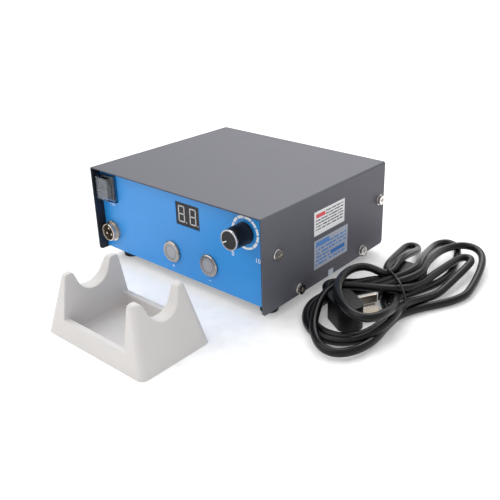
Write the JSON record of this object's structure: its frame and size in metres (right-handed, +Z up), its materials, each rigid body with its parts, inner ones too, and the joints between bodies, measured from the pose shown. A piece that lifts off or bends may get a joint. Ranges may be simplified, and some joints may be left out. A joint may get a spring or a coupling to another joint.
{
  "type": "ultrasound therapy device",
  "caption": "Tabletop ultrasound therapy generator in a folded sheet-metal case, with a moulded two-saddle handpiece rest and a tied detachable mains lead.",
  "frame": {"origin": "on the table, on the case's middle plane, midway between the front edge of the handpiece rest and the screw heads on the rear panel", "axes": "+Z up, +Y from the front panel to the rear panel, +X to the right seen from the front"},
  "size_m": [0.2975, 0.3149, 0.0855],
  "materials": {
    "case_paint": "fine textured powder coat",
    "zinc_steel": "zinc plated sheet",
    "overlay_blue": "satin printed film",
    "nickel_screws": "nickel plated",
    "foot_rubber": "moulded",
    "black_abs": "moulded",
    "clear_pvc": "clear moulded",
    "nickel_collar": "turned and nickel plated",
    "dark_insulator": "moulded",
    "brass_contacts": "bright",
    "tinned_brass": "tinned",
    "display_epoxy": "smooth",
    "circuit_board": "solder mask",
    "button_metal": "satin nickel",
    "button_cap": "satin",
    "knob_black": "moulded",
    "knob_rim": "bright turned",
    "pot_steel": "plated",
    "sink_aluminium": "extruded",
    "ferrite": "sintered",
    "copper_winding": "enamelled wire",
    "can_sleeve": "shrink sleeve",
    "relay_blue": "moulded",
    "header_white": "moulded",
    "lamination_steel": "varnished laminations",
    "winding_tape": "tape",
    "fuse_glass": "clear tube with plated caps",
    "guard_wire": "bright plated wire",
    "label_paper": "matt film",
    "label_silver": "satin foil film",
    "rest_plastic": "fine moulded",
    "lead_pvc": "smooth extruded",
    "plug_pvc": "moulded",
    "tie_wire": "plastic coated wire"
  },
  "bodies": {
    "root": {"chassis": "zinc_steel", "front_overlay": "overlay_blue", "top_cover": "case_paint", "cover_screws": "nickel_screws", "foot_front_left": "foot_rubber", "foot_front_right": "foot_rubber", "foot_rear_left": "foot_rubber", "foot_rear_right": "foot_rubber", "foot_fasteners": "nickel_screws", "switch_housing": "black_abs", "switch_terminals": "tinned_brass", "switch_boot": "clear_pvc", "socket_shell": "nickel_collar", "socket_insert": "dark_insulator", "socket_contacts": "brass_contacts", "socket_nut": "nickel_collar", "display_module": "display_epoxy", "display_board": "circuit_board", "left_button_housing": "button_metal", "right_button_housing": "button_metal", "button_nuts": "nickel_collar", "button_terminals": "tinned_brass", "pot_body": "pot_steel", "pot_nut": "nickel_collar", "main_board": "circuit_board", "standoffs": "tinned_brass", "inner_screws": "nickel_screws", "heatsink": "sink_aluminium", "power_transistors": "black_abs", "output_core": "ferrite", "output_coil": "copper_winding", "capacitors": "can_sleeve", "relay": "relay_blue", "board_headers": "header_white", "transformer_core": "lamination_steel", "transformer_winding": "winding_tape", "transformer_strap": "zinc_steel", "inlet_housing": "black_abs", "inlet_blades": "tinned_brass", "fan_frame": "black_abs", "fan_guard": "guard_wire", "rear_screws": "nickel_screws", "upper_label": "label_paper", "lower_label": "label_silver", "seal_sticker": "label_paper", "handpiece_rest": "rest_plastic", "lead_hank": "lead_pvc", "lead_tie": "tie_wire", "lead_connector": "plug_pvc", "plug_body": "plug_pvc", "plug_pins": "tinned_brass"},
    "rocker": {"switch_rocker": "black_abs"},
    "left_button": {"left_button_cap": "button_cap"},
    "right_button": {"right_button_cap": "button_cap"},
    "control_knob": {"knob": "knob_black", "knob_rim": "knob_rim", "pot_shaft": "pot_steel"},
    "fuse_drawer": {"fuse_drawer": "black_abs", "fuse": "fuse_glass"},
    "fan_rotor": {"fan_rotor": "black_abs"}
  },
  "joints": [
    {"name": "power_rocker", "type": "hinge", "parent": "root", "child": "rocker", "pos_m": [-0.0825, -0.02575, 0.068], "axis": [1, 0, 0], "range_deg": [-18, 0]},
    {"name": "left_button_press", "type": "slide", "parent": "root", "child": "left_button", "axis": [0, 1, 0], "range_m": [0, 0.0018], "stiffness_N_per_m": 800, "springref_m": -0.0012},
    {"name": "right_button_press", "type": "slide", "parent": "root", "child": "right_button", "axis": [0, 1, 0], "range_m": [0, 0.0018], "stiffness_N_per_m": 800, "springref_m": -0.0012},
    {"name": "knob_turn", "type": "hinge", "parent": "root", "child": "control_knob", "pos_m": [0.0723, -0.02675, 0.067], "axis": [0, 1, 0], "range_deg": [-30, 270]},
    {"name": "fuse_drawer_slide", "type": "slide", "parent": "root", "child": "fuse_drawer", "axis": [0, 1, 0], "range_m": [0, 0.015]},
    {"name": "fan_spin", "type": "hinge", "parent": "root", "child": "fan_rotor", "pos_m": [0.058, 0.1208, 0.049], "axis": [0, 1, 0], "continuous": true}
  ]
}
